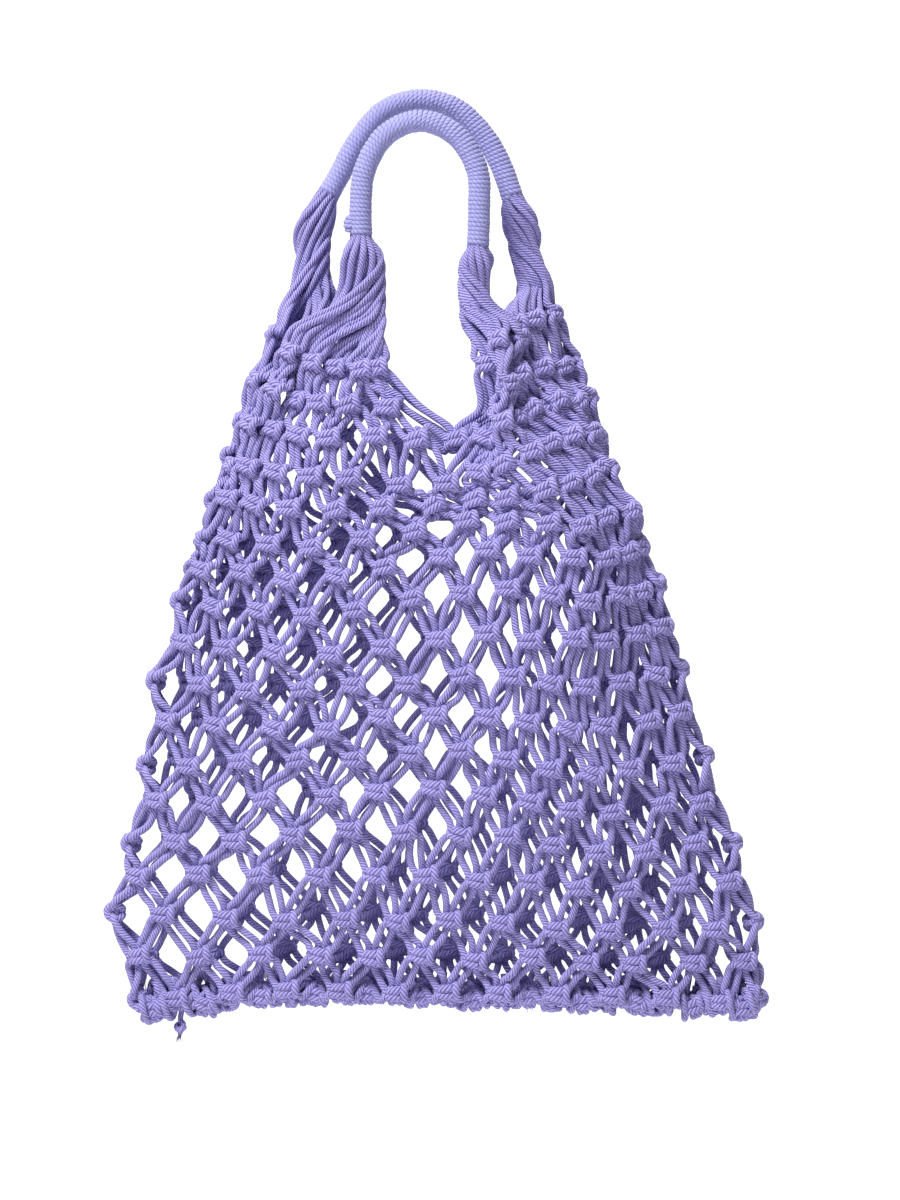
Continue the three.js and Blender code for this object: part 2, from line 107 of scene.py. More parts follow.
# %% Sections of the hanging net
EDGE_STATIONS = (0, 4)
EDGE_TURN = 0.7
ACROSS_KEYS = ("ring", "left", "front_left", "front_neck", "front_right",
               "right", "rear_right", "rear_neck", "rear_left")
ACROSS = [
    (0, -0.208, -0.140, 0.016, 0.106, 0.126, 0.182, 0.016, -0.193),
    (1, -0.237, -0.150, 0.045, 0.102, 0.150, 0.206, 0.045, -0.226),
    (3, -0.300, -0.174, 0.030, 0.158, 0.238, 0.258, 0.030, -0.255),
    (5, -0.349, -0.168, 0.060, 0.240, 0.318, 0.258, 0.060, -0.212),
    (7, -0.378, -0.180, 0.057, 0.250, 0.352, 0.274, 0.057, -0.214),
    (9, -0.410, -0.188, 0.057, 0.248, 0.390, 0.276, 0.057, -0.224),
    (11, -0.430, -0.188, 0.054, 0.250, 0.430, 0.280, 0.056, -0.226),
    (13, -0.457, -0.199, 0.052, 0.266, 0.472, 0.300, 0.075, -0.205),
    (15, -0.482, -0.204, 0.035, 0.283, 0.513, 0.318, 0.072, -0.176),
    (17, -0.450, -0.209, 0.035, 0.283, 0.520, 0.320, 0.075, -0.160),
]
DOWN = [  # ring, left, leg, neck, right leg, right, rise of the rear's legs
    (0, 0.238, 0.261, 0.262, 0.232, 0.221, 0.030),
    (1, 0.282, 0.297, 0.290, 0.279, 0.265, 0.026),
    (3, 0.364, 0.380, 0.390, 0.357, 0.336, 0.014),
    (5, 0.446, 0.457, 0.432, 0.432, 0.416, 0.006),
    (7, 0.520, 0.533, 0.509, 0.514, 0.502, 0.006),
    (9, 0.606, 0.618, 0.599, 0.610, 0.593, 0.008),
    (11, 0.696, 0.696, 0.682, 0.706, 0.692, 0.008),
    (13, 0.785, 0.776, 0.773, 0.792, 0.781, 0.006),
    (15, 0.865, 0.867, 0.870, 0.880, 0.874, 0.004),
    (17, 0.960, 0.949, 0.951, 0.956, 0.962, 0.000),
]
FULLNESS = [  # ring, depth, fold, shift of the edges in columns
    (0, 0.62, 0.3, 2.0), (1, 0.70, 0.7, 1.9), (3, 0.84, 1.0, 1.3), (5, 0.94, 1.0, 0.7),
    (7, 1.00, 0.6, 0.3), (9, 1.00, 0.2, 0.0), (11, 0.92, 0.0, 0.0), (13, 0.76, 0.0, 0.0),
    (15, 0.54, 0.0, 0.0), (17, 0.34, 0.0, 0.0),
]


def cubic(part, start, end, leaving, arriving):
    """A smooth step from start to end that leaves and arrives with the slopes given."""
    return ((1 + 2 * part) * (1 - part) ** 2 * start + part * (1 - part) ** 2 * leaving
            + part ** 2 * (3 - 2 * part) * end + part ** 2 * (part - 1) * arriving)


def smooth_table(rows, ring):
    """Each column of a table at any ring, on a smooth curve through its rows."""
    table = np.array(rows)
    at, values = table[:, 0], table[:, 1:]
    slopes = np.gradient(values, at, axis=0)
    ring = np.clip(ring, at[0], at[-1])
    low = np.clip(np.searchsorted(at, ring, side="right") - 1, 0, len(at) - 2)
    span = at[low + 1] - at[low]
    part = ((ring - at[low]) / span)[..., None]
    span = span[..., None]
    return cubic(part, values[low], values[low + 1], span * slopes[low], span * slopes[low + 1])


def round_ring(stations, column, edges=()):
    """A closed curve through a ring's eight stations, three columns apart, that may turn at edges."""
    place = (column + 1) / 3
    low = np.floor(place).astype(int)
    part = place - low
    before, start, end, after = (
        np.take_along_axis(stations, ((low + k) % 8)[..., None], -1)[..., 0] for k in (-1, 0, 1, 2))
    slope_a, slope_b = (end - before) / 2, (after - start) / 2
    slope_a = np.where(np.isin(low % 8, edges), EDGE_TURN * (end - start), slope_a)
    slope_b = np.where(np.isin((low + 1) % 8, edges), EDGE_TURN * (end - start), slope_b)
    return cubic(part, start, end, slope_a, slope_b)


print("sections:", len(ACROSS), "with the stations", ACROSS_KEYS[1:])

# %% [markdown]
# On top of the sections come three local forms: the pull apart beside each open neck, the sag of
# the neck's lowest cords, and the raised fold that runs down from the front right leg. The solid net
# has them too, a little weaker. How far each one reaches is counted in columns.

# %% The net's surface
BULGE_POWER = 0.6
NECK_GAPE = 0.0245
GAPE_REACH = 1.6
NECK_SAG = 0.026
SAG_REACH = 0.8
FOLD_RELIEF = 0.011
FOLD_COLUMN = 7.6
FOLD_REACH = 1.2


def columns_from(column, target):
    """Signed distance in columns, the short way round."""
    return (column - target + COLUMNS / 2) % COLUMNS - COLUMNS / 2


def net_place(column, ring):
    """Points in the middle of the net's thickness."""
    column, ring = np.broadcast_arrays(np.asarray(column, float), np.asarray(ring, float))
    across = round_ring(smooth_table(ACROSS, ring), column, edges=EDGE_STATIONS)
    left, leg, neck, right_leg, right, rise = np.moveaxis(smooth_table(DOWN, ring), -1, 0)
    stations = np.stack([left, leg, neck, right_leg, right, right_leg - rise, neck, leg - rise], -1)
    drop = round_ring(stations, column)
    depth, fold, shift = np.moveaxis(smooth_table(FULLNESS, ring), -1, 0)
    from_front = np.abs(columns_from(column, FRONT_NECK))
    front_half, rear_half = COLUMNS / 4 + shift, COLUMNS / 4 - shift
    is_front = from_front <= front_half
    inside = np.where(is_front, front_half - from_front, from_front - front_half)
    edge = inside / np.where(is_front, front_half, rear_half)
    bulge = np.sin(np.pi / 2 * np.clip(edge, 0, 1)) ** BULGE_POWER * np.where(is_front, -1, 1)
    place = np.stack([BAG_WIDTH * across, BAG_DEPTH / 2 * depth * bulge, -BAG_DROP * drop], -1)
    for neck_column, facing in ((FRONT_NECK, 1), (REAR_NECK, -1)):
        offset = columns_from(column, neck_column)
        beside = np.exp(-np.maximum(np.abs(offset) - 0.5, 0) / GAPE_REACH)
        place[..., 0] += NECK_GAPE * facing * np.sign(offset) * beside * np.clip((3 - ring) / 2, 0, 1)
        first_rings = np.clip(2 - ring, 0, 1) * np.clip(ring, 0, 1)
        place[..., 2] -= NECK_SAG * np.exp(-np.abs(offset) / SAG_REACH) * first_rings
    place[..., 1] -= FOLD_RELIEF * fold * np.exp(-(columns_from(column, FOLD_COLUMN) / FOLD_REACH) ** 2)
    return place


def unit(vectors):
    return vectors / np.linalg.norm(vectors, axis=-1, keepdims=True)


def net_frames(column, ring):
    """The place, the directions across, up and outward, and the width of a column, at each knot."""
    upper, lower = np.maximum(ring - 0.5, 0), np.minimum(ring + 0.5, LAST_RING)
    side_step = net_place(column + 0.5, ring) - net_place(column - 0.5, ring)
    up = unit(net_place(column, upper) - net_place(column, lower))
    out = unit(np.cross(side_step, up))
    across = unit(np.cross(up, out) + 0.6 * unit(side_step))
    up = np.cross(out, across)
    return net_place(column, ring), across, up, out, np.linalg.norm(side_step, axis=-1)


print("front neck at", np.round(net_place(FRONT_NECK, 1), 3),
      "and the left edge at", np.round(net_place(-1, 9), 3))

# %% [markdown]
# A square knot ties two outer cords round two inner ones. Seen from outside it shows two level bars
# side by side, which are one cord going across and back, and an upright loop over their right ends,
# which is the other. These are the bends of each cord through the knot, in cord thicknesses:
# across, up and outward from the knot's middle. Drawing the real crossing, and not a lump, is what
# makes the knots read as tied from every angle.

# %% Bends of the four cords through one square knot
BAR_CORD = [  # across, up, outward, thickness
    (2.00, 1.40, 0.00, 1.0), (1.64, 0.90, 0.18, 1.0), (1.12, 0.58, 0.55, 1.1),
    (0.40, 0.52, 0.96, 1.2), (-0.45, 0.50, 0.96, 1.2), (-1.22, 0.36, 0.60, 1.12),
    (-1.52, -0.04, 0.15, 1.05), (-1.22, -0.42, 0.60, 1.12), (-0.45, -0.56, 0.96, 1.2),
    (0.40, -0.58, 0.96, 1.2), (1.12, -0.68, 0.50, 1.1), (1.66, -0.92, 0.16, 1.0),
    (2.05, -1.40, 0.00, 1.0),
]
LOOP_CORD = [
    (-2.00, 1.35, 0.10, 1.0), (-1.68, 0.80, 0.45, 1.0), (-1.25, 0.34, 0.70, 1.05),
    (-0.95, 0.10, -0.05, 1.0), (-0.50, 0.25, -0.85, 1.1), (0.40, 0.62, -0.90, 1.1),
    (1.02, 1.05, -0.20, 1.0), (1.28, 0.80, 0.80, 1.1), (1.30, 0.00, 1.14, 1.16),
    (1.28, -0.82, 0.76, 1.1), (1.02, -1.10, -0.20, 1.0), (0.40, -0.70, -0.90, 1.1),
    (-0.50, -0.28, -0.85, 1.1), (-0.95, -0.12, -0.05, 1.0), (-1.30, -0.42, 0.62, 1.05),
    (-1.72, -0.84, 0.42, 1.0), (-2.05, -1.40, 0.08, 1.0),
]
LEFT_CORE = [(-0.46, 1.55, 0.05, 1.0), (-0.50, 0.00, -0.02, 1.1), (-0.50, -1.65, 0.05, 1.0)]
RIGHT_CORE = [(0.46, 1.55, 0.05, 1.0), (0.50, 0.00, -0.02, 1.1), (0.50, -1.65, 0.05, 1.0)]

# From one ring to the next no cord crosses another: the two left cords of a knot go down to the
# knot at its lower left and are the right pair there. Each of the four runs has its part in even
# and in odd rings, and the step of knots that it makes sideways.
RUNS = [
    (LOOP_CORD, RIGHT_CORE, 0),
    (LEFT_CORE, BAR_CORD, 0),
    (RIGHT_CORE, LOOP_CORD, 1),
    (BAR_CORD, LEFT_CORE, 1),
]
print("bends:", len(BAR_CORD), "and", len(LOOP_CORD))

# %% [markdown]
# Every knot gets its frame. Where the net is drawn together the knots are a little narrower and
# stand in turns forward and back, as crowded knots do. A small seeded shake turns and shifts each
# one, because no two hand-tied knots lie alike.

# %% Frames of all the knots
KNOT_ROOM = 0.0175
LEAST_SQUEEZE = 0.74
CROWDING = 0.42
KNOT_TILT = math.radians(7)
KNOT_SHIFT = 0.0011


def tilted(across, up, spread):
    """The two directions of each knot in a ring, turned about the third by a random angle."""
    tilt = dice.normal(0, spread, COLUMNS)[:, None]
    return across * np.cos(tilt) + up * np.sin(tilt), up * np.cos(tilt) - across * np.sin(tilt)


def knot_ring(ring):
    """The frames of one ring's knots; even rings lie half a column across from odd ones."""
    column = np.arange(COLUMNS) - (0.5 if ring % 2 == 0 else 1.0)
    place, across, up, out, pitch = net_frames(column, np.full(COLUMNS, float(ring)))
    squeeze = np.clip(pitch / KNOT_ROOM, LEAST_SQUEEZE, 1.0)
    crowd = np.maximum(KNOT_ROOM - pitch, 0) * CROWDING
    place = place + out * (crowd * math.sqrt(2) * np.cos(np.pi * column + np.pi / 4))[:, None]
    across, up = tilted(across, up, KNOT_TILT)
    shift = dice.normal(0, KNOT_SHIFT, (3, COLUMNS, 1))
    place = place + across * shift[0] + up * shift[1] + out * shift[2]
    return {"place": place, "across": across, "up": up, "out": out, "squeeze": squeeze}


rings = [knot_ring(ring) for ring in range(LAST_RING + 1)]
print("knots:", sum(len(ring["place"]) for ring in rings))

# %% [markdown]
# The grips are two stiff arches. Their centre lines are smooth curves through a few places, as
# shares of their span and rise, and the feet of those curves are where the legs begin.

# %% Centre lines of the grips
FRONT_ARCH = [(-0.5, 1), (-0.505, 0.72), (-0.47, 0.42), (-0.29, 0.12), (0, 0),
              (0.305, 0.12), (0.49, 0.42), (0.505, 0.74), (0.495, 1.09)]
BACK_ARCH = [(-0.5, 1), (-0.44, 0.8), (-0.34, 0.44), (-0.19, 0.11), (0, 0),
             (0.19, 0.09), (0.35, 0.39), (0.435, 0.68), (0.50, 1.03)]
ARCH_CENTRE_X = -0.003
FRONT_SPAN = 0.070
FRONT_RISE = 0.070
BACK_SPAN = 0.112
BACK_RISE = 0.058
BACK_LIFT = 0.0154


def smooth_curve(bends, per_bend):
    """Points on a smooth curve through bends, which may be many curves side by side."""
    bends = np.asarray(bends, float)
    ends = (2 * bends[..., :1, :] - bends[..., 1:2, :], 2 * bends[..., -1:, :] - bends[..., -2:-1, :])
    padded = np.concatenate([ends[0], bends, ends[1]], -2)
    gaps = np.linalg.norm(np.diff(padded, axis=-2), axis=-1, keepdims=True) ** 0.5 + 1e-6
    before, here, after = gaps[..., :-2, :], gaps[..., 1:-1, :], gaps[..., 2:, :]
    p0, p1, p2, p3 = (padded[..., k:padded.shape[-2] - 3 + k, :] for k in range(4))
    slope_a = here * ((p1 - p0) / before - (p2 - p0) / (before + here) + (p2 - p1) / here)
    slope_b = here * ((p2 - p1) / here - (p3 - p1) / (here + after) + (p3 - p2) / after)
    part = (np.arange(per_bend) / per_bend)[:, None]
    p1, p2, slope_a, slope_b = (a[..., None, :] for a in (p1, p2, slope_a, slope_b))
    points = cubic(part, p1, p2, slope_a, slope_b)
    points = points.reshape(*points.shape[:-3], -1, points.shape[-1])
    return np.concatenate([points, bends[..., -1:, :]], -2)


def arch_line(arch, span, rise, top, y):
    bends = [(ARCH_CENTRE_X + span * across, y, top - rise * below) for across, below in arch]
    return smooth_curve(bends, 24)


def length_of(line):
    return float(np.linalg.norm(np.diff(line, axis=0), axis=1).sum())


front_top = GRIP_THICKNESS / 2
front_line = arch_line(FRONT_ARCH, FRONT_SPAN, FRONT_RISE, front_top, -GRIP_SPACING / 2)
back_line = arch_line(BACK_ARCH, BACK_SPAN, BACK_RISE, front_top + BACK_LIFT, GRIP_SPACING / 2)
print("grip lengths:", [round(length_of(line), 3) for line in (front_line, back_line)])

# %% [markdown]
# In each leg 24 cords leave the wrapping as a tight bundle and open to a flat fan. The bundle is two
# half rolls of twelve cords. One starts behind and comes round the inner edge to the front, cord
# after cord, so that its cords run slantwise over the fan. The other starts in front and goes down
# under it. The table says how far down a section is, how far the leg has opened there, how wide the
# roll is against the grip, and how thick its cords are pressed.

# %% Cords of the legs
LEG_SECTIONS = [  # drop, opening, girth, thickness
    (-0.12, 0.00, 0.84, 0.70), (-0.01, 0.00, 0.96, 0.78), (0.05, 0.00, 1.30, 0.86),
    (0.12, 0.01, 1.75, 0.96), (0.22, 0.04, 2.05, 0.96), (0.34, 0.09, 2.10, 0.96),
    (0.46, 0.15, 2.10, 0.96), (0.58, 0.24, 2.05, 0.96), (0.69, 0.40, 1.95, 0.96),
    (0.79, 0.60, 1.75, 0.96), (0.89, 0.83, 1.45, 1.0),
]
LEG_TURNS = (3.7, 4.1, 5.4, 4.9)
LEG_EASE = (1.2, 1.6, 1.7, 1.4)
LEG_GIRTHS = (1.10, 0.76, 0.78, 0.84)
LEG_DELAYS = (1.0, 3.2, 5.0, 1.5)
LEG_CORDS = (1.0, 1.0, 0.92, 0.94)
LEG_FLATNESS = 0.70
LEG_LEAVES = (0.18, 0.18, 1.10, 0.32)


def foot_of(line, end):
    """The place of a grip's end and the direction in which its cords leave it."""
    place, inner = (line[0], line[4]) if end == 0 else (line[-1], line[-5])
    return place, unit(place - inner)


FEET = [foot_of(front_line, 0), foot_of(front_line, 1), foot_of(back_line, 1), foot_of(back_line, 0)]


def ramp(value, low, high):
    part = min(1.0, max(0.0, (value - low) / (high - low)))
    return part * part * (3 - 2 * part)


def leg_routes(leg, entries):
    """Bends of a leg's 24 cords, from inside the grip to just above their first knots."""
    place, outward = FEET[leg]
    hand = 1 if leg in (0, 3) else -1
    rank = np.argsort(np.argsort(hand * entries[:, 0]))
    share = (rank + 0.5) / len(entries)
    is_under = rank % 2
    is_deep = rank // 2 % 2
    turn = LEG_TURNS[leg] - math.pi * is_under
    height = place[2] - entries[:, 2].mean()
    run = outward * height / -outward[2]
    fan_half = (entries[:, 0].max() - entries[:, 0].min()) / 2
    fan_middle = (entries[:, 0].max() + entries[:, 0].min()) / 2
    routes = []
    for drop, opening, girth, thickness in LEG_SECTIONS:
        opening = opening ** LEG_DELAYS[leg]
        closed = 1 - max(drop, 0)
        angle = math.pi * share + turn * closed ** LEG_EASE[leg]
        thickness *= LEG_CORDS[leg]
        rim = GRIP_THICKNESS / 2 * (1 + (girth - 1) * LEG_GIRTHS[leg]) - CORD / 2 * thickness
        inset = 0.9 * is_deep * ramp(closed, 0.3, 0.6) + 0.95 * is_under * ramp(1 - closed, 0.15, 0.45)
        inset = np.minimum(inset * CORD, 0.5 * rim)
        leave = LEG_LEAVES[leg]
        gone = drop if drop < 0 else leave * (1 - math.exp(-drop / leave))
        wide = rim + (fan_half - rim) * opening
        middle = place[0] + run[0] * gone
        middle += (fan_middle - middle) * opening
        flat = 1 - (1 - LEG_FLATNESS) * min(1, max(drop, 0) * 4)
        roll = np.zeros((len(entries), 3))
        roll[:, 0] = middle - hand * (wide - inset) * np.cos(angle)
        roll[:, 1] = place[1] + run[1] * gone - (rim * flat - inset) * np.sin(angle)
        settle = max(0.0, (drop - 0.7) / 0.3) ** 1.5
        sheet = entries[:, :3] + [0, CORD, 0] * (is_under - 0.5)[:, None] * 1.1
        point = roll + (sheet - roll) * [settle, opening, 0]
        point = point + (entries[:, :3] - point) * [0, settle, 0]
        point[:, 2] = place[2] + (entries[:, 2] - place[2]) * drop
        if drop < 0:
            point[:, 2] = place[2] + run[2] * drop + outward[0] * (point[:, 0] - middle)
        routes.append(np.column_stack([point, np.full(len(entries), CORD * thickness)]))
    return np.stack(routes, 1)


print("leg sections:", len(LEG_SECTIONS))

# %% [markdown]
# At the foot of the bag the last knots of front and rear are drawn together. Each pair of cords is
# tied once more in a smaller closing knot that lies under the last ring, and then its end is tucked
# up inside. The closing knots lie at odd angles, which makes the lumpy edge of the real seam.

# %% Closing knots and tucked ends
CLOSING_DROP = 0.0024
CLOSING_DEPTH = 0.0045
CLOSING_SIZE = 0.92
CLOSING_TILT = math.radians(16)
LEFT_SINK = 0.0042
RIGHT_SINK = 0.0004


def corner_sink(column):
    """The seam's corners are bunched up and hang lower."""
    left = LEFT_SINK * np.exp(-(columns_from(column, -0.4) / 1.1) ** 2)
    return left + RIGHT_SINK * np.exp(-(columns_from(column, 9.6) / 1.3) ** 2)


def closing_ring():
    """Frames of the closing knots, half a column across from the last ring."""
    column = np.arange(COLUMNS) - 0.5
    place, across, up, out, pitch = net_frames(column, np.full(COLUMNS, float(LAST_RING)))
    place[:, 1] = np.clip(place[:, 1], -CLOSING_DEPTH, CLOSING_DEPTH)
    place[:, 2] -= CLOSING_DROP + corner_sink(column) + dice.uniform(-0.0012, 0.0022, COLUMNS)
    across, up = tilted(across, up, CLOSING_TILT)
    squeeze = np.full(COLUMNS, CLOSING_SIZE)
    return {"place": place, "across": across, "up": up, "out": out, "squeeze": squeeze}


closing = closing_ring()


def through_knots(bends, frames, index, size=1.0):
    """The bends of one cord through each of the knots picked by index."""
    across, up, out, thickness = np.array(bends).T * CORD * size
    picked = {key: value[index] for key, value in frames.items()}
    squeeze = picked["squeeze"][:, None]
    places = (picked["place"][:, None]
              + (across * squeeze)[..., None] * picked["across"][:, None]
              + up[:, None] * picked["up"][:, None]
              + out[:, None] * picked["out"][:, None])
    return np.concatenate([places, np.broadcast_to(thickness[:, None], (*places.shape[:2], 1))], -1)


def tucked_end(last, frames, index):
    """A cord's end, turned in under the seam and up inside it."""
    inward = -frames["out"][index]
    down = np.array([0, 0, -1.0])
    reach = dice.uniform(0.5, 1.1, len(index))[:, None] * CORD
    bunched = np.exp(-(columns_from(index - 0.5, -0.2) / 2.0) ** 2)
    rise = (dice.uniform(2.6, 5.0, len(index)) + 1.6 * bunched)[:, None] * CORD
    wander = dice.normal(0, 0.9 * CORD, (len(index), 1)) * frames["across"][index]
    wander = wander * (1 + bunched[:, None])
    places = np.stack([last + inward * reach * 0.9 + down * 0.25 * CORD,
                       last + inward * reach * 1.8 + wander * 0.6,
                       last + inward * reach * 1.9 - down * rise + wander], 1)
    return np.concatenate([places, np.full((*places.shape[:2], 1), CORD * 0.95)], -1)


print("closing knots:", len(closing["place"]))

# %% [markdown]
# Now each cord gets its whole route: down its leg, through eighteen knots, through its closing knot
# and in. All the cords of one run are worked out together, because they differ only by their place.
# Between two knots a cord that leaves the side of a knot bows a little outward and one that leaves
# its middle a little inward, so that crowded cords lie over each other.

# %% Routes of all the cords
BOW = 0.26
CLOSING_BOW = 0.45
SPLAY = 0.12
STRAY = 0.0006
NECK_PULLS = (0.003, 0.009)
NECK_LOWERING = 0.5


def beside_neck(knots):
    """Which of ring 1's knots hang in an open neck."""
    front, rear = columns_from(knots - 1.0, FRONT_NECK), columns_from(knots - 1.0, REAR_NECK)
    return np.minimum(abs(front), abs(rear)) < 0.6


def between(upper, lower, frames, index, lift, aside, hanging=False):
    """One bend halfway between two knots, lifted off the net and splayed from its neighbour."""
    middle = (upper[:, -1] + lower[:, 0]) / 2
    side = np.sign(upper[:, -1, 0] - lower[:, 0, 0])
    pull = np.where(side > 0, NECK_PULLS[1], NECK_PULLS[0]) * hanging
    middle[:, 0] += side * pull
    middle[:, 2] -= NECK_LOWERING * pull
    room = np.clip((frames["squeeze"][index] - 0.78) / 0.2, 0.15, 1)[:, None]
    shift = frames["out"][index] * lift + frames["across"][index] * aside * room
    middle[:, :3] += shift * CORD
    middle[:, :3] += dice.normal(0, STRAY, (len(index), 3))
    return middle[:, None]


def run_route(even_bends, odd_bends, step):
    """The bends of the 24 cords of one run, from their first knot down."""
    index = np.arange(COLUMNS)
    pieces = []
    for ring, frames in enumerate(rings):
        is_even = ring % 2 == 0
        here = index if is_even else (index + step) % COLUMNS
        bends = through_knots(even_bends if is_even else odd_bends, frames, here)
        if pieces:
            leave, enter = (odd_bends, even_bends) if is_even else (even_bends, odd_bends)
            is_outer = abs(leave[-1][0]) > 1
            aside = math.copysign(SPLAY, leave[-1][0]) * (1 if is_outer else -1)
            lift = BOW if is_outer else -BOW
            hanging = beside_neck(here) & (ring == 1)
            pieces.append(between(pieces[-1], bends, frames, here, lift, aside, hanging))
        pieces.append(bends)
    last = through_knots(even_bends, closing, index, CLOSING_SIZE)
    side = math.copysign(SPLAY, odd_bends[-1][0]) * (1 if abs(odd_bends[-1][0]) > 1 else -1)
    pieces.append(between(pieces[-1], last, closing, index, CLOSING_BOW, side))
    pieces += [last, tucked_end(last[:, -1, :3], closing, index)]
    return np.concatenate(pieces, 1)


run_bends = [run_route(*run) for run in RUNS]


def leg_cords(leg):
    """Whole routes of the cords of one leg, each an array of bends."""
    knots = range(leg * COLUMNS_PER_LEG, (leg + 1) * COLUMNS_PER_LEG)
    order = [(knot, run) for knot in knots for run in (0, 1, 2, 3)]
    down = [run_bends[run][knot] for knot, run in order]
    tops = leg_routes(leg, np.array([route[0] for route in down]))
    return [np.concatenate([top, route]) for top, route in zip(tops, down)]


print("bends a cord:", [len(route[0]) for route in run_bends])

# %% [markdown]
# A tube is swept along each route. Steps are spent where a cord bends and saved where it runs
# straight. The frame that carries the section is turned as little as possible on the way, so that
# the lay of the cord doesn't spin. The tube's own map holds the way round it and the length along
# it, which the material reads to draw the plies. Hundreds of bends times ninety-six cords are
# joined into one mesh a leg from arrays, because a curve object for each would be slow and heavy.

# %% Sweep tubes along routes
BEND_STEPS = 6
CORD_STEPS = 450
CORD_SIDES = 8
CORD_SWELL = 1.10


def even_steps(points, count, bend_cost=2.2):
    """Count points along a route, closer together where it bends."""
    segments = np.diff(points[:, :3], axis=0)
    lengths = np.linalg.norm(segments, axis=1)
    directions = segments / np.maximum(lengths, 1e-9)[:, None]
    turns = np.arccos(np.clip((directions[1:] * directions[:-1]).sum(1), -1, 1))
    turns = np.concatenate([turns[:1], turns])
    cost = np.concatenate([[0], np.cumsum(lengths / CORD + bend_cost * turns)])
    wanted = np.linspace(0, cost[-1], count)
    return np.stack([np.interp(wanted, cost, values) for values in points.T], 1)


def carried_frames(points):
    """Tangents and a pair of side directions that turn as little as possible, for many routes."""
    tangents = unit(np.gradient(points, axis=1))
    is_upright = np.abs(tangents[:, 0, 2:3]) > 0.9
    start = np.where(is_upright, np.array([[1.0, 0, 0]]), np.array([[0, 0, 1.0]]))
    side = unit(np.cross(tangents[:, 0], start))
    sides = [side]
    for step in range(1, points.shape[1]):
        side = sides[-1] - tangents[:, step] * (sides[-1] * tangents[:, step]).sum(-1, keepdims=True)
        sides.append(unit(side))
    sides = np.stack(sides, 1)
    return sides, np.cross(tangents, sides)


def sweep(points, radius, sides):
    """Rings of points round many routes of equally many steps: (routes, steps, sides, 3)."""
    first, second = carried_frames(points)
    angles = np.arange(sides) / sides * 2 * np.pi
    circle = first[:, :, None] * np.cos(angles)[:, None] + second[:, :, None] * np.sin(angles)[:, None]
    return points[:, :, None] + circle * np.broadcast_to(radius, points.shape[:2])[..., None, None]


def tube_mesh(name, tubes, shades):
    """One mesh of closed tubes, with its map of the way round and the length along."""
    vertices, quads, caps, maps, tints = [], [], [], [], []
    base = 0
    for rings_of_tubes, shade in zip(tubes, shades):
        routes, steps, sides, _ = rings_of_tubes.shape
        centre = rings_of_tubes.mean(2)
        length = np.concatenate([np.zeros((routes, 1)), np.cumsum(
            np.linalg.norm(np.diff(centre, axis=1), axis=-1), axis=1)], 1)
        number = base + np.arange(routes * steps * sides).reshape(routes, steps, sides)
        turn = np.roll(number, -1, axis=2)
        quad = np.stack([number[:, :-1], turn[:, :-1], turn[:, 1:], number[:, 1:]], -1)
        around = np.arange(sides) / sides
        next_around = around + 1 / sides
        along = np.broadcast_to(length[:, :-1, None], quad.shape[:3])
        along_next = np.broadcast_to(length[:, 1:, None], quad.shape[:3])
        around, next_around = (np.broadcast_to(a, quad.shape[:3]) for a in (around, next_around))
        maps.append(np.stack([np.stack([around, next_around, next_around, around], -1),
                              np.stack([along, along, along_next, along_next], -1)], -1).reshape(-1, 2))
        quads.append(quad.reshape(-1, 4))
        caps += [ring[::-1] for ring in number[:, 0]] + list(number[:, -1])
        vertices.append(rings_of_tubes.reshape(-1, 3))
        tints.append(np.repeat(np.broadcast_to(shade, routes), steps * sides))
        base += routes * steps * sides
    quads = np.concatenate(quads)
    corners = np.concatenate([quads.reshape(-1)] + caps)
    totals = np.concatenate([np.full(len(quads), 4), [len(cap) for cap in caps]])
    mesh = bpy.data.meshes.new(name)
    mesh.vertices.add(base)
    mesh.vertices.foreach_set("co", np.concatenate(vertices).astype(np.float32).ravel())
    mesh.loops.add(len(corners))
    mesh.loops.foreach_set("vertex_index", corners.astype(np.int32))
    mesh.polygons.add(len(totals))
    starts = np.concatenate([[0], np.cumsum(totals)[:-1]])
    mesh.polygons.foreach_set("loop_start", starts.astype(np.int32))
    mesh.polygons.foreach_set("use_smooth", np.ones(len(totals), bool))
    mesh.update(calc_edges=True)
    layer = mesh.uv_layers.new(name="lay")
    cap_map = np.zeros((len(corners) - len(quads) * 4, 2))
    layer.data.foreach_set("uv", np.concatenate(maps + [cap_map]).astype(np.float32).ravel())
    tint = mesh.attributes.new("shade", "FLOAT", "POINT")
    tint.data.foreach_set("value", np.concatenate(tints).astype(np.float32))
    return mesh


def add_piece(name, mesh, slot, *nodes):
    """Puts a finished mesh into the scene in place of the solids that it stands for."""
    piece = bpy.data.objects.new(name, mesh)
    bpy.context.collection.objects.link(piece)
    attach(piece, "root")
    if nodes:
        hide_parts(*nodes)
    print(name, "triangles:", sum(len(face.vertices) - 2 for face in mesh.polygons))
    return piece


# %% [markdown]
# The four cord pieces: one for each leg, together with all the net that its cords tie.

# %% Legs and net
LEG_NAMES = ("front_left", "front_right", "back_right", "back_left")
cord_pieces = []
for leg, leg_name in enumerate(LEG_NAMES):
    routes = [even_steps(smooth_curve(route, BEND_STEPS), CORD_STEPS) for route in leg_cords(leg)]
    routes = np.array(routes)
    tubes = sweep(routes[..., :3], routes[..., 3] / 2 * CORD_SWELL, CORD_SIDES)
    name = "cords_" + leg_name
    mesh = tube_mesh(name, [tubes], [dice.uniform(0, 1, len(routes))])
    cord_pieces.append(add_piece(name, mesh, "cord_cotton", "leg_" + leg_name, "net_body"))
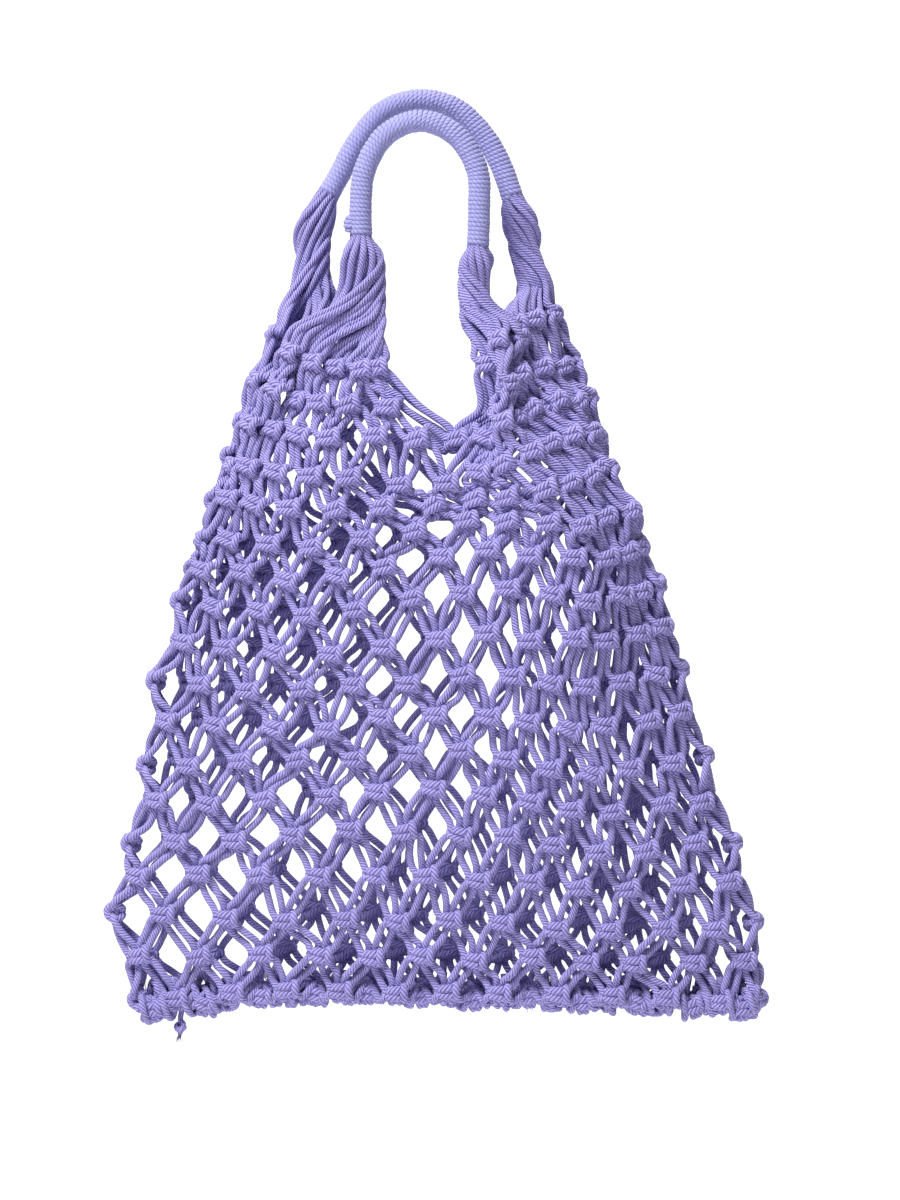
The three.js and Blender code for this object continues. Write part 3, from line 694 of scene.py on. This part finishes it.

# %% [markdown]
# Each grip is a bundle of cords, hidden under a thinner thread wound round and round it without a
# gap. The thread is one long tube on a helix about the arch's centre line, pressed flat by the tight
# winding, over a plain core that closes whatever shows between its turns. The core's tone is set a
# little darker than the thread's: painted shade between the turns.

# %% Wrapped grips
THREAD = 0.0026
THREAD_WIDTH = 0.0030
THREAD_HEIGHT = 0.0015
WRAP_SWELL = 0.0003
WRAP_STEPS_A_TURN = 24
THREAD_SIDES = 8
REARWARD = np.array([0, 1.0, 0])


def along_line(line, distances):
    """Points and directions at given distances along a line."""
    lengths = np.concatenate([[0], np.cumsum(np.linalg.norm(np.diff(line, axis=0), axis=1))])
    heading = unit(np.gradient(line, axis=0))
    points = np.stack([np.interp(distances, lengths, values) for values in line.T], 1)
    return points, unit(np.stack([np.interp(distances, lengths, values) for values in heading.T], 1))


def wrapped_grip(name, line):
    total = length_of(line)
    turns = total / THREAD
    way = np.linspace(0, 1, int(turns * WRAP_STEPS_A_TURN))
    centre, ahead = along_line(line, THREAD_WIDTH / 2 + (total - THREAD_WIDTH) * way)
    aside = np.cross(ahead, REARWARD)
    angle = (2 * np.pi * turns * way)[:, None]
    away = aside * np.cos(angle) + REARWARD * np.sin(angle)
    uneven = 0.00008 * np.sin(way * 97) + 0.00006 * np.sin(way * 231 + 2)
    reach = GRIP_THICKNESS / 2 + WRAP_SWELL - THREAD_HEIGHT / 2 + uneven
    helix = centre + reach[:, None] * away
    round_about = np.arange(THREAD_SIDES) / THREAD_SIDES * 2 * np.pi
    thread = (helix[:, None] + THREAD_HEIGHT / 2 * away[:, None] * np.cos(round_about)[:, None]
              - THREAD_WIDTH / 2 * ahead[:, None] * np.sin(round_about)[:, None])
    core_line, _ = along_line(line, np.linspace(0.0004, total - 0.0004, 80))
    core = sweep(core_line[None], GRIP_THICKNESS / 2 - THREAD_HEIGHT * 0.6, 20)
    # The core gets a lower tone than the thread, so it is a little darker where it shows between the
    # turns: painted shade.
    return tube_mesh(name, [thread[None], core], [np.array([0.5]), np.array([0.1])])


front_mesh = wrapped_grip("wrap_front", front_line)
back_mesh = wrapped_grip("wrap_back", back_line)
grip_front = add_piece("wrap_front", front_mesh, "grip_cotton", "grip_front")
grip_back = add_piece("wrap_back", back_mesh, "grip_cotton", "grip_back")

# %% [markdown]
# The wrapping thread of the front grip ends in a small lump on the outside of its left foot: a few
# short turns that were pulled tight. A short coil of the same thread makes it.

# %% Tucked end of the wrapping thread
END_WIDTH = 0.0070
END_LENGTH = 0.0100
END_TURNS = 4.2
END_SHIFT = 0.0036


def wrap_end_mesh():
    low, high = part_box("wrap_end")
    middle = np.array((low + high) / 2)
    way = np.linspace(0, 1, 90)
    angle = 2 * np.pi * END_TURNS * way
    swell = np.sin(np.pi * np.clip(way, 0.04, 0.96)) ** 0.4
    reach = END_WIDTH / 2 * swell
    coil = np.stack([reach * np.cos(angle), reach * np.sin(angle), END_LENGTH * (0.5 - way)], 1)
    coil = middle + coil + np.array([END_SHIFT, 0, 0])
    return tube_mesh("wrap_end_coil", [sweep(coil[None], THREAD * 0.55, 8)], [np.array([0.4])])


wrap_end = add_piece("wrap_end_coil", wrap_end_mesh(), "grip_cotton", "wrap_end")

# %% [markdown]
# Along the seam the ends of all the cords lie side by side, and one more cord is laced round them
# from corner to corner. They are three cords that wander round each other on the line where front
# and rear meet, and one on an uneven spiral about them. Two more are wound round the left corner,
# which is bunched up. Together with the closing knots they make the thick, lumpy edge. Spirals from
# a formula are right here, because their turns are too many and too alike to be placed one by one.

# %% Laced seam
SEAM_SINK = 0.0014
LACING_PITCH = 0.0125
LACING_DEPTH = 0.0078
LACING_HEIGHT = 0.0062
STRAND_DEPTH = 0.78 * CORD
STRAND_HEIGHT = 0.6 * CORD
CORNER_SHARE = 0.21
CORNER_DEPTH = 0.75 * LACING_DEPTH
CORNER_TURNS = 7.3
CORNER_LOOPS = ((0.0040, 0.0), (0.0095, 2.1))  # height above the seam's middle, start of the turn


def seam_line(count):
    """The line halfway between front and rear just under the last ring, from left to right."""
    column = np.linspace(-0.92, 10.92, count)
    front, rear = net_place(column, LAST_RING), net_place(2 * FRONT_NECK + 12 - column, LAST_RING)
    order = np.argsort(rear[:, 0])
    line = front.copy()
    line[:, 1] = 0
    line[:, 2] = (front[:, 2] + np.interp(front[:, 0], rear[order, 0], rear[order, 2])) / 2
    line[:, 2] -= SEAM_SINK + corner_sink(column)
    return line


def about_seam(turn, ahead, depth, height):
    """Steps away from the seam's middle line, to the places of a spiral about it."""
    upward = np.cross(ahead, REARWARD)
    return REARWARD * depth * np.cos(turn)[:, None] + upward * height * np.sin(turn)[:, None]


def seam_cords():
    line = seam_line(60)
    total = length_of(line)
    way = np.linspace(0, 1, 520)
    centre, ahead = along_line(line, total * way)
    ends_in = np.sqrt(np.clip(np.minimum(way, 1 - way) / 0.012, 0.05, 1))[:, None]
    routes = []
    for strand in range(3):
        turn = 2 * np.pi * (way * 5 + strand / 3 + 0.04 * np.sin(way * 31 + strand))
        routes.append(centre + ends_in * about_seam(turn, ahead, STRAND_DEPTH, STRAND_HEIGHT))
    turn = 2 * np.pi * way * total / LACING_PITCH
    turn += 0.8 * np.sin(way * 37) + 0.5 * np.sin(way * 71 + 2)
    corner = 0.4 * np.exp(-(way / 0.12) ** 2) + 0.35 * np.exp(-((way - 0.9) / 0.1) ** 2)
    swell = (1 + 0.12 * np.sin(way * 53 + 1) + corner)[:, None] * ends_in
    routes.append(centre + swell * about_seam(turn, ahead, LACING_DEPTH, LACING_HEIGHT))
    corner_centre, _ = along_line(line, total * (0.004 + CORNER_SHARE * way))
    upward = np.cross(ahead, REARWARD)
    fade = way[:, None] ** 2
    for lift, start in CORNER_LOOPS:
        turn = 2 * np.pi * way * CORNER_TURNS + 0.9 * np.sin(way * 17 + start) + start
        loop = (1 - 0.55 * fade) * ends_in * about_seam(turn, ahead, CORNER_DEPTH, LACING_HEIGHT)
        raised = upward * lift * (1 - fade) + REARWARD * 0.001 * np.sin(way * 23 + start)[:, None]
        routes.append(corner_centre + raised + loop)
    return tube_mesh("seam_lacing", [sweep(np.array(routes), CORD / 2, CORD_SIDES)],
                     [dice.uniform(0, 1, len(routes))])


seam_lacing = add_piece("seam_lacing", seam_cords(), "cord_cotton", "bottom_seam")

# %% [markdown]
# Between the closing knots the cut ends are frayed: small soft tufts of thin fibres that show in
# the last gaps. A tuft is a brush of short bent hairs, each a three-sided tube of a few steps, and
# all of them are one mesh.

# %% Frayed ends in the seam
TUFT_COUNT = 66
HAIRS = 34
HAIR_LENGTH = 0.0072
HAIR_THICKNESS = 0.0004
TUFT_DEPTHS = (-0.0075, 0.0055)
TUFT_DROPS = (-0.009, 0.006)


def tuft_hairs(root, lean, count, length, spread=0.45):
    """Routes of the hairs of one tuft."""
    direction = unit(unit(lean) + dice.normal(0, spread, (count, 3)) * 0.6)
    reach = length * dice.uniform(0.6, 1.1, (count, 1))
    start = root + dice.normal(0, 0.0009, (count, 3))
    curl = dice.normal(0, 0.12, (count, 3)) * length
    halfway = start + direction * reach * 0.5 + curl
    tip = start + direction * reach + curl * 0.4
    return smooth_curve(np.stack([start, halfway, tip], 1), 3)


def hair_taper(hairs):
    return np.linspace(1, 0.4, hairs.shape[1]) * HAIR_THICKNESS / 2


def seam_tufts():
    hairs = []
    for tuft in range(TUFT_COUNT):
        column = (tuft + dice.uniform(0.1, 0.9)) / TUFT_COUNT * 11.6 - 0.8
        root = net_place(column, LAST_RING)
        root[1] = dice.uniform(*TUFT_DEPTHS)
        root[2] -= dice.uniform(*TUFT_DROPS)
        lean = np.array([dice.normal(0, 0.6), dice.uniform(-0.9, 0.1), dice.choice([-0.8, 0.9])])
        hairs.append(tuft_hairs(root, lean, HAIRS, HAIR_LENGTH))
    hairs = np.concatenate(hairs)
    return tube_mesh("seam_frays", [sweep(hairs, hair_taper(hairs), 3)],
                     [dice.uniform(0.5, 1, len(hairs))])


seam_frays = add_piece("seam_frays", seam_tufts(), "cord_cotton", "bottom_seam")

# %% [markdown]
# One stub of cord hangs under the seam near the left corner: it comes out of the seam and ends in a
# small overhand knot with a frayed tip. Its route is listed from the knot's middle, in
# slightly less than cord thicknesses.

# %% Hanging stub
STUB_BENDS = [  # across, rearward, up
    (0.5, 0.4, 4.6), (0.15, 0.3, 2.4), (0.0, 0.1, 1.2), (0.55, -0.5, 0.5), (0.3, -0.9, -0.2),
    (-0.5, -0.5, -0.3), (-0.6, 0.3, 0.3), (0.1, 0.6, 0.5), (0.6, 0.2, -0.1), (0.1, -0.1, -0.6),
    (-0.1, 0.0, -1.1),
]
STUB_STEP = 0.9 * CORD
STUB_RADIUS = 0.42 * CORD
STUB_HAIRS = 22
STUB_HAIR_LENGTH = 0.0045


def stub_mesh():
    low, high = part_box("cord_tail")
    middle = np.array((low + high) / 2)
    bends = middle + np.array(STUB_BENDS) * STUB_STEP
    route = even_steps(smooth_curve(bends, BEND_STEPS), 46)
    hairs = tuft_hairs(route[-1], np.array([0, 0, -1.0]), STUB_HAIRS, STUB_HAIR_LENGTH, 0.5)
    tubes = [sweep(route[None], STUB_RADIUS, CORD_SIDES), sweep(hairs, hair_taper(hairs), 4)]
    return tube_mesh("hanging_stub", tubes, [np.array([0.5]), dice.uniform(0.3, 1, len(hairs))])


hanging_stub = add_piece("hanging_stub", stub_mesh(), "cord_cotton", "cord_tail")

# %% [markdown]
# The lay of a twisted cord is one effect that every cord and thread shares: plies that wind round
# and along it. The group reads the tube's own map, counts the plies round and the length along, and
# puts out their height and a mask of the grooves between them. The mask only darkens the colour
# there, which is painted shade. The lay itself is drawn as bump, because real plies on every cord
# would take millions of faces.

# %% Shader group: lay of the cord
def lay_group():
    group = bpy.data.node_groups.new("cord_lay", "ShaderNodeTree")
    group.interface.new_socket("Map", in_out="INPUT", socket_type="NodeSocketVector")
    for name, value in (("Plies", 5.0), ("Lay", 0.010)):
        socket = group.interface.new_socket(name, in_out="INPUT", socket_type="NodeSocketFloat")
        socket.default_value = value
    group.interface.new_socket("Height", in_out="OUTPUT", socket_type="NodeSocketFloat")
    group.interface.new_socket("Groove Shade", in_out="OUTPUT", socket_type="NodeSocketFloat")
    nodes, links = group.nodes, group.links
    enter, leave = nodes.new("NodeGroupInput"), nodes.new("NodeGroupOutput")

    def maths(operation, *inputs):
        node = nodes.new("ShaderNodeMath")
        node.operation = operation
        for socket, value in zip(node.inputs, inputs):
            if isinstance(value, (int, float)):
                socket.default_value = value
            else:
                links.new(value, socket)
        return node.outputs[0]

    parts = nodes.new("ShaderNodeSeparateXYZ")
    links.new(enter.outputs["Map"], parts.inputs[0])
    turns = maths("ADD", parts.outputs["X"], maths("DIVIDE", parts.outputs["Y"], enter.outputs["Lay"]))
    ply_turns = maths("MULTIPLY", turns, enter.outputs["Plies"])
    wave = maths("ABSOLUTE", maths("SINE", maths("MULTIPLY", ply_turns, math.pi)))
    links.new(wave, leave.inputs["Height"])
    # The second output marks the grooves between the plies, where the cotton's colour is darkened:
    # painted shade.
    links.new(maths("POWER", maths("SUBTRACT", 1.0, wave), 2.0), leave.inputs["Groove Shade"])
    return group


cord_lay = lay_group()
print("group:", cord_lay.name, [socket.name for socket in cord_lay.interface.items_tree])

# %% [markdown]
# The cotton is dyed an even lavender with a soft nap and no gloss. Shade is painted into the
# grooves of the lay: the colour goes from a paler ridge colour to a deeper groove colour, which is
# painted shade. Each cord's own shade, a slow drift of colour over the bag and a fine fibre grain
# keep it from looking like plastic. The grips' thread has three fine plies and a lighter painted
# shade in its grooves. The frayed fibres get only a faint painted shade in theirs.

# %% Cotton
def set_inputs(node, values):
    """Puts constants on a node's own sockets."""
    for name, value in values.items():
        node.inputs[name].default_value = value


def cotton(name, ridge, groove_shade, plies, lay, relief):
    material = bpy.data.materials.new(name)
    material.use_nodes = True
    nodes, links = material.node_tree.nodes, material.node_tree.links
    shader = nodes["Principled BSDF"]
    set_inputs(shader, {"Roughness": 0.88, "Specular IOR Level": 0.25, "Sheen Weight": 0.25,
                        "Sheen Roughness": 0.6, "Sheen Tint": (0.80, 0.76, 1.0, 1)})

    tube_map = nodes.new("ShaderNodeUVMap")
    tube_map.uv_map = "lay"
    lay_node = nodes.new("ShaderNodeGroup")
    lay_node.node_tree = cord_lay
    set_inputs(lay_node, {"Plies": plies, "Lay": lay})
    links.new(tube_map.outputs["UV"], lay_node.inputs["Map"])

    place = nodes.new("ShaderNodeTexCoord")
    drift = nodes.new("ShaderNodeTexNoise")
    set_inputs(drift, {"Scale": 18})
    fibre = nodes.new("ShaderNodeTexNoise")
    set_inputs(fibre, {"Scale": 2200, "Detail": 3})
    for noise in (drift, fibre):
        links.new(place.outputs["Object"], noise.inputs["Vector"])
    own_shade = nodes.new("ShaderNodeAttribute")
    own_shade.attribute_name = "shade"

    # Painted shade: towards the grooves of the lay the colour is mixed to the darker second colour.
    groove_shade_mix = nodes.new("ShaderNodeMix")
    groove_shade_mix.data_type = "RGBA"
    set_inputs(groove_shade_mix, {"A": (*ridge, 1), "B": (*groove_shade, 1)})
    links.new(lay_node.outputs["Groove Shade"], groove_shade_mix.inputs["Factor"])

    tone = nodes.new("ShaderNodeMath")
    tone.operation = "ADD"
    links.new(own_shade.outputs["Fac"], tone.inputs[0])
    links.new(drift.outputs["Fac"], tone.inputs[1])
    brightness = nodes.new("ShaderNodeMapRange")
    set_inputs(brightness, {"From Max": 2.0, "To Min": 0.86, "To Max": 1.12})
    links.new(tone.outputs[0], brightness.inputs["Value"])
    grained = nodes.new("ShaderNodeMapRange")
    set_inputs(grained, {"From Min": 0.3, "From Max": 0.7, "To Min": 0.90, "To Max": 1.08})
    links.new(fibre.outputs["Fac"], grained.inputs["Value"])
    factor = nodes.new("ShaderNodeMath")
    factor.operation = "MULTIPLY"
    links.new(brightness.outputs[0], factor.inputs[0])
    links.new(grained.outputs[0], factor.inputs[1])
    shaded = nodes.new("ShaderNodeVectorMath")
    shaded.operation = "SCALE"
    links.new(groove_shade_mix.outputs["Result"], shaded.inputs[0])
    links.new(factor.outputs[0], shaded.inputs["Scale"])
    links.new(shaded.outputs[0], shader.inputs["Base Color"])

    nap = nodes.new("ShaderNodeMath")
    nap.operation = "MULTIPLY_ADD"
    nap.inputs[1].default_value = 0.22
    links.new(fibre.outputs["Fac"], nap.inputs[0])
    links.new(lay_node.outputs["Height"], nap.inputs[2])
    bump = nodes.new("ShaderNodeBump")
    set_inputs(bump, {"Distance": relief, "Strength": 1.0})
    links.new(nap.outputs[0], bump.inputs["Height"])
    links.new(bump.outputs["Normal"], shader.inputs["Normal"])
    return material


# In each call the first colour is the cotton on the ridges and the second is painted shade for the
# grooves between the plies.
cord_cotton = cotton("cord_cotton", (0.385, 0.345, 0.760), (0.110, 0.085, 0.340), 5, 0.0100, 0.0008)
grip_cotton = cotton("grip_cotton", (0.335, 0.330, 0.640), (0.205, 0.195, 0.470), 3, 0.0075, 0.00025)
fray_cotton = cotton("fray_cotton", (0.29, 0.25, 0.63), (0.22, 0.19, 0.54), 2, 0.0060, 0.00004)
for piece in cord_pieces + [seam_lacing, hanging_stub]:
    piece.data.materials.append(cord_cotton)
seam_frays.data.materials.append(fray_cotton)
for piece in (grip_front, grip_back, wrap_end):
    piece.data.materials.append(grip_cotton)
print("materials:", cord_cotton.name, grip_cotton.name, fray_cotton.name)

# %% [markdown]
# The set is plain: a pale floor that curves up into a pale wall. One sheet is bent from a row of
# edge points by extruding them sideways, so there is no line where the floor ends. Its back is clear,
# so that the bag can be looked at from behind it too.

# %% Floor and backdrop
FLOOR_Z = -0.72
SWEEP_RADIUS = 0.9
WALL_Y = 2.2
HALF_WIDTH = 4.0
FLOOR_FRONT_Y = -3.2
WALL_HEIGHT = 4
SWEEP_STEPS = 16


def backdrop_sheet():
    sheet = bmesh.new()
    profile = [(FLOOR_FRONT_Y, FLOOR_Z), (0, FLOOR_Z)]
    for step in range(SWEEP_STEPS + 1):
        angle = math.radians(90) * step / SWEEP_STEPS
        profile.append((WALL_Y - SWEEP_RADIUS + SWEEP_RADIUS * math.sin(angle),
                        FLOOR_Z + SWEEP_RADIUS * (1 - math.cos(angle))))
    profile.append((WALL_Y, FLOOR_Z + WALL_HEIGHT))
    points = [sheet.verts.new((-HALF_WIDTH, y, z)) for y, z in profile]
    edges = [sheet.edges.new(pair) for pair in zip(points, points[1:])]
    grown = bmesh.ops.extrude_edge_only(sheet, edges=edges)
    moved = [item for item in grown["geom"] if isinstance(item, bmesh.types.BMVert)]
    bmesh.ops.translate(sheet, verts=moved, vec=(2 * HALF_WIDTH, 0, 0))
    sheet.normal_update()
    turned = [face for face in sheet.faces if face.normal.y > 0 or face.normal.z < 0]
    bmesh.ops.reverse_faces(sheet, faces=turned)
    mesh = bpy.data.meshes.new("backdrop")
    sheet.to_mesh(mesh)
    sheet.free()
    for face in mesh.polygons:
        face.use_smooth = True
    return mesh


paper = bpy.data.materials.new("pale_paper")
paper.use_nodes = True
paper_nodes, paper_links = paper.node_tree.nodes, paper.node_tree.links
paper_shader = paper_nodes["Principled BSDF"]
set_inputs(paper_shader, {"Base Color": (0.90, 0.90, 0.90, 1), "Roughness": 0.9,
                          "Specular IOR Level": 0.1})
paper_side = paper_nodes.new("ShaderNodeNewGeometry")
see_through = paper_nodes.new("ShaderNodeBsdfTransparent")
one_sided = paper_nodes.new("ShaderNodeMixShader")
paper_links.new(paper_side.outputs["Backfacing"], one_sided.inputs[0])
paper_links.new(paper_shader.outputs[0], one_sided.inputs[1])
paper_links.new(see_through.outputs[0], one_sided.inputs[2])
paper_links.new(one_sided.outputs[0], paper_nodes["Material Output"].inputs["Surface"])
backdrop = bpy.data.objects.new("backdrop", backdrop_sheet())
backdrop.data.materials.append(paper)
bpy.context.collection.objects.link(backdrop)
print("floor at", FLOOR_Z)

# %% [markdown]
# Soft light comes from a large panel above and to the left of the camera, and a little from the
# right and from an even pale surround. Big sources keep the shadows inside the net deep but without
# edges. One panel lights the wall alone, and a weak one behind the bag lifts its rear cords.

# %% Light
def panel(name, place, target, size, power):
    data = bpy.data.lights.new(name, "AREA")
    data.shape = "RECTANGLE"
    data.size, data.size_y = size
    data.energy = power
    lamp = bpy.data.objects.new(name, data)
    lamp.location = place
    lamp.visible_camera = False
    lamp.rotation_euler = (Vector(target) - Vector(place)).to_track_quat("-Z", "Y").to_euler()
    bpy.context.collection.objects.link(lamp)


BAG_MIDDLE = (0.0, 0.0, -0.27)
panel("key_panel", (-0.9, -1.2, 1.8), BAG_MIDDLE, (0.8, 0.8), 103)
panel("fill_panel", (1.6, -1.6, 0.2), BAG_MIDDLE, (1.4, 1.4), 4)
panel("wall_panel", (0.0, 0.4, 2.2), (0, 2.2, 0.2), (3.0, 1.0), 46)
panel("rear_panel", (1.0, 1.7, 1.6), BAG_MIDDLE, (0.8, 0.8), 9)
world = bpy.data.worlds.new("surround")
world.use_nodes = True
set_inputs(world.node_tree.nodes["Background"], {"Color": (1.0, 1.0, 1.0, 1), "Strength": 0.05})
bpy.context.scene.world = world
bpy.context.scene.view_settings.view_transform = "Standard"
